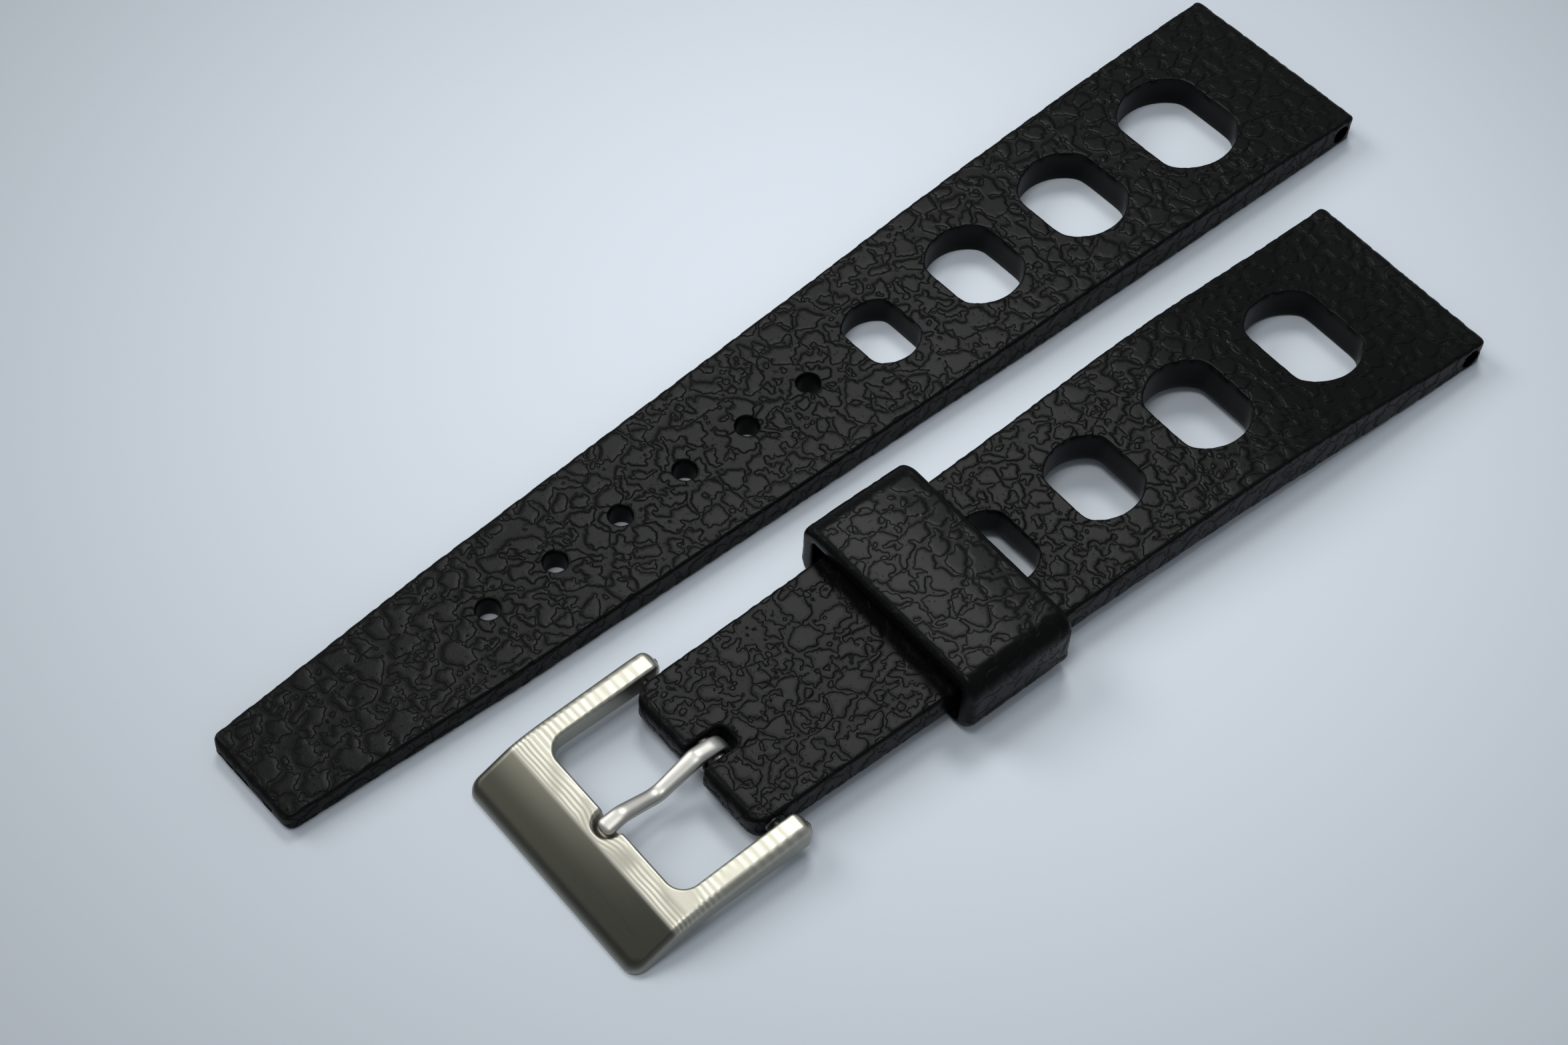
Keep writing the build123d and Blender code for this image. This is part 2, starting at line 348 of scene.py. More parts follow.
def piece(name, mesh, material):
    """An object at the origin that shows a mesh in one material."""
    made = bpy.data.objects.new(name, mesh)
    bpy.context.scene.collection.objects.link(made)
    mesh.materials.clear()
    mesh.materials.append(material)
    return made


def bore(target, centre, axis, name):
    """Cuts a round tunnel across a half and keeps the result as plain mesh."""
    cutter_mesh = bpy.data.meshes.new(name)
    shape = bmesh.new()
    turn = Vector((0, 0, 1)).rotation_difference(Vector(axis)).to_matrix().to_4x4()
    bmesh.ops.create_cone(
        shape, cap_ends=True, segments=tunnel_segments, radius1=tunnel_radius, radius2=tunnel_radius,
        depth=cutter_length, matrix=Matrix.Translation(Vector(centre)) @ turn,
    )
    shape.to_mesh(cutter_mesh)
    shape.free()
    cutter_mesh.materials.append(target.data.materials[0])
    cutter = bpy.data.objects.new(name, cutter_mesh)
    bpy.context.scene.collection.objects.link(cutter)
    cut = target.modifiers.new("tunnel", "BOOLEAN")
    cut.object = cutter
    cut.solver = "MANIFOLD"
    bpy.context.view_layer.update()
    evaluated = target.evaluated_get(bpy.context.evaluated_depsgraph_get())
    cut_mesh = bpy.data.meshes.new_from_object(evaluated)
    sheet = bmesh.new()
    sheet.from_mesh(cut_mesh)
    bmesh.ops.dissolve_degenerate(sheet, edges=sheet.edges, dist=sliver_width)
    bmesh.ops.triangulate(sheet, faces=[face for face in sheet.faces if len(face.verts) > 4])
    sheet.to_mesh(cut_mesh)
    sheet.free()
    target.modifiers.clear()
    old = target.data
    target.data = cut_mesh
    bpy.data.meshes.remove(old)
    cut_mesh.name = target.name
    bpy.data.objects.remove(cutter)
    cut_mesh.set_sharp_from_angle(angle=tunnel_crease)


def end_drop(distance, radius):
    """How far a quarter circle at an end lies below the level face, by distance from the end."""
    inward = radius - np.clip(distance, 0, radius)
    return radius - np.sqrt(radius ** 2 - inward ** 2)


def ends_drop(x, length):
    """How far the rounded ends of a half lie below its level face, by distance from the lug end."""
    return end_drop(x, strap_end_round) + end_drop(length - x, strap_end_round)


def half_outline(stations, holes, margin, corner):
    """A half's outline, in pieces, from the middle of its lug end along one side and round the far corner.

    stations are pairs of distance from the lug end and half width, with straight runs between
    them. The side's pieces part midway between the holes, and a margin beyond the last one.
    Gives the pieces and how far from the middle line the far corner ends.
    """
    distances, halves = np.array(stations).T

    def width(x):
        return np.interp(-x, distances, halves)

    lug_y = width(-lug_corner) - lug_corner
    pieces = [run((0, 0), (0, lug_y), round(lug_y / mesh_step), (1, 0)),
              arc((-lug_corner, lug_y), lug_corner, 0, 90, lug_corner_steps)]
    edges = [(place - half, place + half) for place, _, half in holes]
    stops = [lug_corner] + [(near[1] + far[0]) / 2 for near, far in zip(edges, edges[1:])]
    stops += [edges[-1][1] + margin, distances[-1] - corner]
    for start, stop in zip(stops, stops[1:]):
        x = -np.linspace(start, stop, max(2, round((stop - start) / mesh_step)) + 1)
        normals = np.stack([-np.gradient(width(x), x), np.ones_like(x)], -1)
        pieces.append((np.stack([x, width(x)], -1), normals / np.linalg.norm(normals, axis=1)[:, None]))
    corner_x = corner - distances[-1]
    corner_y = width(corner_x) - corner
    return pieces + [arc((corner_x, corner_y), corner, 90, 180, corner_steps)], corner_y


def strap_skin(outline, normals, top, bottom):
    """Side skin of a half, the grain's share on it, and the outline set in by its rounded edge."""
    skin = side_skin(outline, normals, top, bottom, strap_side_round, strap_side_round,
                     skin_edge_rows, skin_wall_rows)
    share = np.ones(skin.shape[:2])
    share[-skin_edge_rows:] = np.linspace(0.75, 0, skin_edge_rows)[:, None]
    return skin, share, outline - normals * strap_side_round


def holed_part(inset, ends, last_cross, holes, top, bottom):
    """The blocks round all the holes of a half, in order from the lug end.

    The border of each runs out along one cross line, along the strap's inset border and back
    along the next cross line.
    """
    corners = inset[ends[2:1 + len(holes)]]
    crosses = [line((x, 0), (x, y), max(2, round(y / mesh_step))) for x, y in corners] + [last_cross]
    blocks = []
    start = 0
    for index, (place, radius, half_length) in enumerate(holes):
        stop = ends[index + 2]
        border = [inset[start:stop + 1], crosses[index][::-1][1:]]
        if index:
            border.insert(0, crosses[index - 1][:-1])
        centre = np.array([-place, 0.0])
        blocks.append(hole_block(np.concatenate(border), centre, radius, half_length, top, bottom))
        start = stop
    return blocks


def both_faces(plan, top, bottom):
    """Top and underside over one part of the plan; only the top is grained."""
    return [(lift(plan, top), np.ones(plan.shape[:2])), (lift(plan, bottom), np.zeros(plan.shape[:2]))]


mesh_step = 0.265 * MM
weld_distance = 0.004 * MM
sliver_width = 0.0002 * MM
ring_share = 0.9
hole_floor_rows = 3
hole_rim_rows = 3
hole_wall_rows = 5
skin_edge_rows = 4
skin_wall_rows = 9
slot_turn_steps = 5
slot_mouth_steps = 4
slot_end_steps = 3
strap_side_round = 0.28 * MM
strap_end_round = 0.8 * MM
vent_rim_round = 0.13 * MM
lug_inset = 1.9 * MM
lug_half_width = 10.0 * MM
lug_corner = 0.9 * MM
lug_corner_steps = 8
lug_height = 2.8 * MM
shoulder_height = 3.4 * MM
level_height = 2.924 * MM
waist_half_width = 8.75 * MM
tunnel_radius = 0.95 * MM
tunnel_segments = 48
tunnel_crease = math.radians(50)
cutter_length = 30 * MM
grain_depth = 0.048 * MM
grain_softness = 0.12

short_length = 81.4 * MM
short_waist = 39.9 * MM
short_end_half_width = 7.8 * MM
short_end_corner = 1.8 * MM
short_end_height = 2.7 * MM
short_shoulder = 22.0 * MM
short_level = 50.6 * MM
short_ramp_start = 4.1 * MM
short_ramp_end = 34.2 * MM
sole_rise = 1.1 * MM
short_vents = np.array([(13.2, 5.25, 4.15), (26.3, 4.7, 3.85), (38.4, 4.25, 3.4), (49.6, 3.75, 2.9)]) * MM
short_vent_margin = 2.5 * MM
slot_half_width = 1.15 * MM
slot_corner = 0.7 * MM
slot_length = 3.95 * MM
slot_mouth_round = 0.4 * MM
corner_steps = 10


def short_bottom(xy):
    """Underside: level at the lug end, an eased ramp, then level over the keeper's sole."""
    x = -xy[..., 0]
    share = np.clip((x - short_ramp_start) / (short_ramp_end - short_ramp_start), 0, 1)
    return sole_rise * eased(share) + ends_drop(x, short_length)


def short_top(xy):
    """Top: a cubic through lug end, shoulder and level, flat at both ends, then a straight run.

    The slope at the shoulder makes the curvature of the two cubic spans agree there.
    """
    x = -xy[..., 0]
    spans = np.array([short_shoulder, short_level - short_shoulder])
    heights = np.array([lug_height, sole_rise + shoulder_height, sole_rise + level_height])
    slopes = np.diff(heights) / spans
    middle_slope = 1.5 * (slopes / spans).sum() / (1 / spans).sum()

    def cubic(start, length, low, high, slope_in, slope_out):
        t = np.clip((x - start) / length, 0, 1)
        return ((2 * t ** 3 - 3 * t ** 2 + 1) * low + (t ** 3 - 2 * t ** 2 + t) * length * slope_in
                + (3 * t ** 2 - 2 * t ** 3) * high + (t ** 3 - t ** 2) * length * slope_out)

    first = cubic(0, spans[0], heights[0], heights[1], 0, middle_slope)
    second = cubic(short_shoulder, spans[1], heights[1], heights[2], middle_slope, 0)
    last = np.interp(x, [short_level, short_length], [heights[2], sole_rise + short_end_height])
    level = np.where(x < short_shoulder, first, np.where(x < short_level, second, last))
    return level - ends_drop(x, short_length)


def short_half_mesh():
    """The whole buckle half: blocks round the vents, two patches beside the slot, and the side skin."""
    pieces, corner_y = half_outline(
        [(0, lug_half_width), (short_waist, waist_half_width), (short_length, short_end_half_width)],
        short_vents, short_vent_margin, short_end_corner)
    mouth_x, mouth_y = slot_mouth_round - short_length, slot_half_width + slot_mouth_round
    slot_x, slot_y = slot_length - short_length, slot_half_width - slot_corner
    wall_steps = round((slot_length - slot_corner - slot_mouth_round) / mesh_step)
    end_steps = round((corner_y - mouth_y) / mesh_step)
    turn_points, turn_normals = arc((slot_x - slot_corner, slot_y), slot_corner, 90, 0, slot_turn_steps)
    outline, normals, ends = chain(pieces + [
        run((-short_length, corner_y), (-short_length, mouth_y), end_steps, (-1, 0)),
        arc((mouth_x, mouth_y), slot_mouth_round, 180, 270, slot_mouth_steps),
        run((mouth_x, slot_half_width), turn_points[0], wall_steps, (0, -1)),
        (turn_points, -turn_normals),
        run((slot_x, slot_y), (slot_x, 0), slot_end_steps, (-1, 0)),
    ])
    skin, skin_share, inset = strap_skin(outline, normals, short_top, short_bottom)
    side_start, corner_start = ends[1 + len(short_vents):3 + len(short_vents)]
    mouth, turn = ends[-4:-2]
    skin_share[:, mouth:] = 0

    corner_middle = corner_start + corner_steps // 2
    side_line = inset[side_start:corner_middle + 1]
    far_line = inset[corner_middle:mouth + 1][::-1]
    slot_line = inset[turn:][::-1]
    wall_line = inset[mouth:turn + 1][::-1]
    cross_x, seam_y = side_line[0, 0], inset[turn, 1]
    seam_steps = len(side_line) - len(wall_line)
    seam = line((cross_x, seam_y), inset[turn], seam_steps)
    near_slot = line((cross_x, 0), (cross_x, seam_y), len(slot_line) - 1)
    near_side = line((cross_x, seam_y), side_line[0], len(far_line) - 1)
    middle = line((cross_x, 0), slot_line[0], seam_steps)
    last_cross = np.concatenate([near_slot, near_side[1:]])
    grids = holed_part(inset, ends, last_cross, short_vents, short_top, short_bottom)
    grids += both_faces(patch(near_slot, slot_line, middle, seam), short_top, short_bottom)
    seam_and_wall = np.concatenate([seam, wall_line[1:]])
    grids += both_faces(patch(near_side, far_line, seam_and_wall, side_line), short_top, short_bottom)
    return sew("short_half_rubber", grids + [(skin, skin_share)])


def feed(node, inputs):
    """Links each named input of a node from a socket, or sets it to a value."""
    for key, value in inputs.items():
        if isinstance(value, bpy.types.NodeSocket):
            node.id_data.links.new(value, node.inputs[key])
        else:
            node.inputs[key].default_value = value


def add_node(tree, kind, inputs, **settings):
    """Outputs of a new shader node with its settings and its inputs."""
    made = tree.nodes.new(kind)
    for key, value in settings.items():
        setattr(made, key, value)
    feed(made, inputs)
    return made.outputs


def maths(operation, *values):
    """Result of one arithmetic step on sockets and numbers, in the sockets' own tree."""
    tree = [value.id_data for value in values if isinstance(value, bpy.types.NodeSocket)][0]
    return add_node(tree, "ShaderNodeMath", dict(enumerate(values)), operation=operation)[0]


plus, minus, times = (partial(maths, operation) for operation in ("ADD", "SUBTRACT", "MULTIPLY"))


def vector_maths(operation, first, second=(0, 0, 0), result=0):
    """Result of one arithmetic step on two vectors; where it is a number, its name is Value."""
    inputs = {0: first, 1: second}
    return add_node(first.id_data, "ShaderNodeVectorMath", inputs, operation=operation)[result]


def spread(value, low, high, start=0.0, stop=1.0, way="LINEAR"):
    """Value that runs from low to high as another goes from start to stop."""
    inputs = {"Value": value, "From Min": start, "From Max": stop, "To Min": low, "To Max": high}
    return add_node(value.id_data, "ShaderNodeMapRange", inputs, interpolation_type=way)["Result"]


def ramp(value, start, stop):
    """Eased step of a value, from 0 at start to 1 at stop."""
    return spread(value, 0.0, 1.0, start, stop, "SMOOTHSTEP")


def blend_colour(share, first, second):
    """Colour between two, by a share."""
    return add_node(share.id_data, "ShaderNodeMix", {0: share, 6: first, 7: second}, data_type="RGBA")[2]


def noise_at(place, cell, shift=(0, 0, 0), detail=0.0):
    """Noise between 0 and 1 with cells of a real size, read at a place and a shift."""
    inputs = {"Vector": vector_maths("ADD", place, shift), "Scale": 1 / cell, "Detail": detail}
    return add_node(place.id_data, "ShaderNodeTexNoise", inputs)["Fac"]


def signed_noise(place, cell, shift=(0, 0, 0)):
    """Noise without detail between -1 and 1, the same as lattice_noise gives."""
    return minus(times(noise_at(place, cell, shift), 2.0), 1.0)


def voronoi_at(place, cell, feature="F1"):
    """Outputs of a Voronoi Texture with cells of a real size."""
    inputs = {"Vector": place, "Scale": 1 / cell}
    return add_node(place.id_data, "ShaderNodeTexVoronoi", inputs, feature=feature)


def start_group(name, **takes):
    """A new node group and the sockets it takes, each given by its name and kind."""
    tree = bpy.data.node_groups.new(name, "ShaderNodeTree")
    for socket, kind in takes.items():
        tree.interface.new_socket(socket, in_out="INPUT", socket_type="NodeSocket" + kind)
    return tree, tree.nodes.new("NodeGroupInput").outputs


def end_group(tree, **gives):
    """The group, once it has been given its outputs, all of them numbers."""
    for socket in gives:
        tree.interface.new_socket(socket, in_out="OUTPUT", socket_type="NodeSocketFloat")
    feed(tree.nodes.new("NodeGroupOutput"), gives)
    return tree


def grain_field_group():
    """The mesh's grain field as a node group."""
    tree, given = start_group("grain field", Place="Vector")
    place = given["Place"]
    nearest, second = (voronoi_at(place, grain_island_cell, feature)["Distance"] for feature in ("F1", "F2"))
    lobes = times(signed_noise(place, grain_lobe_cell, lobe_shift), grain_lobe_gain)
    notches = times(signed_noise(place, grain_notch_cell, notch_shift), grain_notch_gain)
    field = minus(minus(second, nearest), grain_gap)
    return end_group(tree, Field=plus(plus(field, lobes), notches))


def grain_group():
    """Height and masks of the grain, with lines of an even width round the islands.

    The field divided by its slope along the surface is the distance in metres from an
    island's border; the slope comes from three more readings of the field, a little way off.
    """
    reading = grain_field_group()
    tree, given = start_group("moulded grain", Place="Vector", Facing="Vector", Share="Float")
    place, share = given["Place"], given["Share"]

    def field_at(shift):
        return shared_outputs(tree, reading, Place=vector_maths("ADD", place, tuple(shift)))["Field"]

    field = field_at((0, 0, 0))
    rises = [minus(field_at(shift), field) for shift in grain_reading_step * np.eye(3)]
    rise = add_node(tree, "ShaderNodeCombineXYZ", dict(enumerate(rises)))[0]
    across = vector_maths("CROSS_PRODUCT", rise, given["Facing"])
    slope = maths("DIVIDE", vector_maths("LENGTH", across, result="Value"), grain_reading_step)
    slope = maths("MAXIMUM", slope, grain_least_slope)
    inside = maths("DIVIDE", field, slope)
    island = ramp(inside, -grain_border, grain_border)
    step = minus(ramp(inside, grain_line_out, grain_line_dark), ramp(inside, grain_line_dark, grain_line_in))
    pits = times(ramp(noise_at(place, grain_pit_cell), *grain_pit_edge), grain_pit_depth)
    crumb = times(noise_at(place, grain_crumb_cell, detail=1.0), grain_crumb_height)
    height = plus(minus(island, pits), crumb)
    return end_group(tree, Height=times(height, share), Step=times(step, share), Island=times(island, share))


def dust_group():
    """A mask of a few specks: the points of a Voronoi pattern, most of them dropped by their colour."""
    tree, given = start_group("dust", Place="Vector")
    spots = voronoi_at(given["Place"], dust_cell)
    near = ramp(spots["Distance"], dust_size / dust_cell, 0.5 * dust_size / dust_cell)
    chance = add_node(tree, "ShaderNodeSeparateXYZ", {0: spots["Color"]})["X"]
    return end_group(tree, Specks=times(near, maths("GREATER_THAN", chance, dust_dropped)))


def new_material(name):
    """A material with its tree, its shader and the place on the object."""
    made = bpy.data.materials.new(name)
    made.use_nodes = True
    tree = made.node_tree
    return made, tree, tree.nodes["Principled BSDF"], tree.nodes.new("ShaderNodeTexCoord").outputs["Object"]


def shared_outputs(tree, group, **inputs):
    """Outputs of a node group placed in a material."""
    return add_node(tree, "ShaderNodeGroup", inputs, node_tree=group)


def grain_share_of(tree):
    """How much of a moulded or milled finish each point of the mesh carries."""
    return add_node(tree, "ShaderNodeAttribute", {}, attribute_name="grain_share")["Fac"]


def bump_of(height, distance):
    """Normal that a height gives."""
    return add_node(height.id_data, "ShaderNodeBump", {"Height": height, "Distance": distance})["Normal"]


def rubber_material(name, roughness, polish, bump_height, painted_step_shade):
    """Matt moulded rubber: darkened in the step round each island as painted shade, paler and smoother on
    the islands.
    """
    made, tree, shader, place = new_material(name)
    share = grain_share_of(tree)
    facing = tree.nodes.new("ShaderNodeNewGeometry").outputs["Normal"]
    mould = shared_outputs(tree, grain, Place=place, Share=share, Facing=facing)
    specks = shared_outputs(tree, dust, Place=place)["Specks"]
    level = spread(noise_at(place, rubber_cloud_cell, detail=2.0), *rubber_cloud_levels)
    level = plus(level, times(mould["Island"], island_lightening))
    # Painted shade: the colour is darkened in the step at the foot of each island.
    level = times(level, minus(1.0, times(mould["Step"], painted_step_shade)))
    tone = add_node(tree, "ShaderNodeVectorMath", {0: rubber_colour, "Scale": level}, operation="SCALE")[0]
    rough = plus(roughness, times(mould["Step"], step_roughening))
    feed(shader, {
        "Base Color": blend_colour(times(specks, share), tone, dust_colour),
        "Roughness": minus(rough, times(mould["Island"], polish)),
        "Specular IOR Level": rubber_specular,
        "Normal": bump_of(mould["Height"], bump_height),
    })
    return made


island_lightening = 0.1
step_roughening = 0.26
dust_cell = 4.0 * MM
dust_size = 0.07 * MM
dust_dropped = 0.8
dust_colour = (0.5, 0.5, 0.48, 1)
grain_reading_step = 0.03 * MM
grain_least_slope = 0.25 / MM
grain_border = 0.03 * MM
# Edges of the step mask, by distance from an island's border: it darkens the rubber as painted shade and
# roughens it.
grain_line_out = -0.17 * MM
grain_line_dark = -0.051 * MM
grain_line_in = 0.0425 * MM
grain_pit_cell = 0.3 * MM
grain_pit_edge = (0.22, 0.18)
grain_pit_depth = 0.5
grain_crumb_cell = 0.1 * MM
grain_crumb_height = 0.12
rubber_cloud_cell = 9.0 * MM
rubber_cloud_levels = (0.75, 1.15)
rubber_specular = 0.076
rubber_colour = (0.0026, 0.0027, 0.0024)
grain_bump = 0.06 * MM

grain = grain_group()
dust = dust_group()
# The strap's rubber, darkened in the grain's steps as painted shade.
strap_rubber = rubber_material(
    "strap rubber", roughness=0.31, polish=0.02, bump_height=grain_bump, painted_step_shade=0.5)

bar_place = np.array(entry_named(record["behaviour"]["joints"], "buckle_swing")["pos_m"])
short_place = half_place("short_lug_bore")
short_mesh = short_half_mesh()
place_half(short_mesh, *short_place)
press_grain(short_mesh, grain_depth)
short_half = piece("short_half_rubber", short_mesh, strap_rubber)
bore(short_half, *mount_place("short_lug_bore"), "short lug tunnel")
bore(short_half, bar_place, (0, 1, 0), "bar tunnel")
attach(short_half, "short_half")
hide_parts("short_strap")


# Keeper
# A soft loop of the same rubber, moulded in one piece round the strap with a fainter grain.
# It slides along the buckle half on its thin sole, and its mould parted just above the floor.

keeper_from_lug = 50.6 * MM
keeper_length = 11.0 * MM
keeper_half_width = 10.505 * MM
keeper_height = 6.824 * MM
keeper_wall = 1.5 * MM
keeper_sole = 1.0 * MM
keeper_corner = 1.9 * MM
keeper_bore_corner = 0.35 * MM
keeper_lip_round = 0.66 * MM
keeper_mouth_round = 0.3 * MM
keeper_crown = 0.2 * MM
parting_height = 1.75 * MM
parting_rise = 0.08 * MM
parting_reach = 0.22 * MM
keeper_step = 0.2 * MM
loop_level_steps = 48
loop_turn_steps = 12
loop_side_steps = 14
lip_steps = 6
bore_steps = 19
keeper_grain_depth = 0.03 * MM
keeper_grain_bump = 0.022 * MM


def half_loop(half_width, low, high, radius):
    """Half of a rounded rectangle's outline, from the middle of its top round to the middle of its foot."""
    turn_y, turn_high, turn_low = half_width - radius, high - radius, low + radius
    return chain([
        run((0, high), (turn_y, high), loop_level_steps, (0, 1)),
        arc((turn_y, turn_high), radius, 90, 0, loop_turn_steps),
        run((half_width, turn_high), (half_width, turn_low), loop_side_steps, (1, 0)),
        arc((turn_y, turn_low), radius, 0, -90, loop_turn_steps),
        run((turn_y, low), (0, low), loop_level_steps, (0, -1)),
    ])[:2]


def keeper_mesh_made():
    """A sheet along the profile and round the loop: outside, lip, bore and lip, closed both ways.

    The lips are quarter circles. The outside sinks by a cosine from its middle to its lips
    and stands out in a bell-shaped ridge where the mould parted.
    """
    outside, out = half_loop(keeper_half_width, 0, keeper_height, keeper_corner)
    bore_loop, inward = half_loop(keeper_half_width - keeper_wall, keeper_sole, keeper_height - keeper_wall,
                                  keeper_bore_corner)
    half = keeper_length / 2
    reach, bore_reach = half - keeper_lip_round, half - keeper_mouth_round
    ridge = parting_rise * np.exp(-((outside[:, 1] - parting_height) / parting_reach) ** 2)
    top_share = np.clip(out[:, 1], 0, 1) ** 2
    rows = []

    def skin(station):
        sink = keeper_crown * (1 - math.cos(station / half * math.pi / 2)) * top_share
        return outside + out * (ridge * np.abs(out[:, 0]) - sink)[:, None]

    for station in np.linspace(-reach, reach, round(2 * reach / keeper_step) + 1):
        rows.append((station, skin(station), 1.0))
    for sine, drop in quarter(lip_steps)[1:]:
        rows.append((reach + keeper_lip_round * sine, skin(reach) - out * keeper_lip_round * drop, 1 - drop))
    for sine, drop in quarter(lip_steps)[::-1]:
        rim = bore_loop + inward * keeper_mouth_round * drop
        rows.append((bore_reach + keeper_mouth_round * sine, rim, 0.0))
    rows += [(station, bore_loop, 0.0) for station in np.linspace(bore_reach, 0, bore_steps + 1)[1:]]
    far_side = [(-station, loop, share) for station, loop, share in rows[::-1]]
    first = len(far_side) - sum(1 for row in far_side if row[2] == 1.0)
    rows += far_side[1:first + 1]
    middle = -keeper_from_lug - half
    surface = np.stack([np.column_stack([np.full(len(loop), middle + at), loop]) for at, loop, _ in rows])
    share = np.stack([np.full(len(loop), share) for _, loop, share in rows])
    return sew("keeper_rubber_loop", [(surface, share)])


keeper_mesh = keeper_mesh_made()
place_half(keeper_mesh, *short_place)
press_grain(keeper_mesh, keeper_grain_depth)
# The keeper's rubber, with a lighter painted shade in the grain's steps.
keeper_rubber = rubber_material(
    "keeper rubber", roughness=0.275, polish=0.01, bump_height=keeper_grain_bump, painted_step_shade=0.26)
keeper = piece("keeper_rubber_loop", keeper_mesh, keeper_rubber)
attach(keeper, "keeper")
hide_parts("keeper")


# Buckle frame
# One casting of steel: a wide sloping plate in front, a square window and two arms that hold the bar.
# Its top was milled in fine steps that run across it, then brushed; the tang rests in a notch.

arm_inner = 8.4 * MM
arm_outer = 10.55 * MM
arm_tip = 2.0 * MM
arm_tip_round = 1.0 * MM
arm_side_round = 1.2 * MM
frame_front = -16.1 * MM
frame_corner = 1.2 * MM
window_edge = -9.8 * MM
window_corner = 1.6 * MM
outer_edge_round = 0.72 * MM
inner_edge_round = 0.32 * MM
foot_edge_round = 0.25 * MM
notch_half_width = 1.15 * MM
notch_end = -11.3 * MM
notch_depth = 0.9 * MM
notch_rim = 0.28 * MM
frame_step = 0.15 * MM
frame_edge_rows = 7
frame_wall_rows = 7
profile_bend_steps = 12
frame_top_corners = [(3.0, 1.25, 0.0), (0.0, 1.25, 20.0), (-9.8, 0.65, 18.0), (-11.8, 0.25, 5.0),
                     (-16.3, -1.634, 0.0)]
frame_foot_corners = [(3.0, -1.25, 0.0), (-9.8, -1.25, 4.0), (-14.5, -2.45, 0.5), (-16.3, -2.45, 0.0)]


def walked(points):
    """Distance along a line of points to each of them."""
    return np.concatenate([[0], np.linalg.norm(np.diff(points, axis=0), axis=1).cumsum()])


def rounded_profile(corners):
    """Points of a run of straight lines with each corner eased by a parabola, from (x, z, radius) in mm."""
    places = np.array([corner[:2] for corner in corners])
    points = [places[:1]]
    share = np.linspace(0, 1, profile_bend_steps + 1)[:, None]
    for (before, here, after), (_, _, radius) in zip(zip(places, places[1:], places[2:]), corners[1:]):
        back, on = ((end - here) / np.linalg.norm(end - here) for end in (before, after))
        set_back = radius * math.tan((math.pi - math.acos(np.clip(back @ on, -1, 1))) / 2)
        start, end = here + back * set_back, here + on * set_back
        points.append((1 - share) ** 2 * start + 2 * share * (1 - share) * here + share ** 2 * end)
    return np.concatenate(points + [places[-1:]])[::-1].T * MM


top_line = rounded_profile(frame_top_corners)
foot_line = rounded_profile(frame_foot_corners)


def notch_drop(xy):
    """Depth of the notch: full inside a slot with a round end, eased to none over its rim."""
    centre_x = notch_end + notch_half_width
    reach = np.hypot(np.minimum(xy[..., 0] - centre_x, 0), xy[..., 1]) - notch_half_width
    return notch_depth * eased(np.clip(0.5 - reach / (2 * notch_rim), 0, 1))


def frame_top(xy):
    """Top of the frame: its side profile, lowered in the notch and rounded at the arms' tips."""
    return np.interp(xy[..., 0], *top_line) - notch_drop(xy) - end_drop(arm_tip - xy[..., 0], arm_side_round)


def frame_foot(xy):
    """Underside of the frame, rounded up at the arms' tips."""
    return np.interp(xy[..., 0], *foot_line) + end_drop(arm_tip - xy[..., 0], arm_side_round)


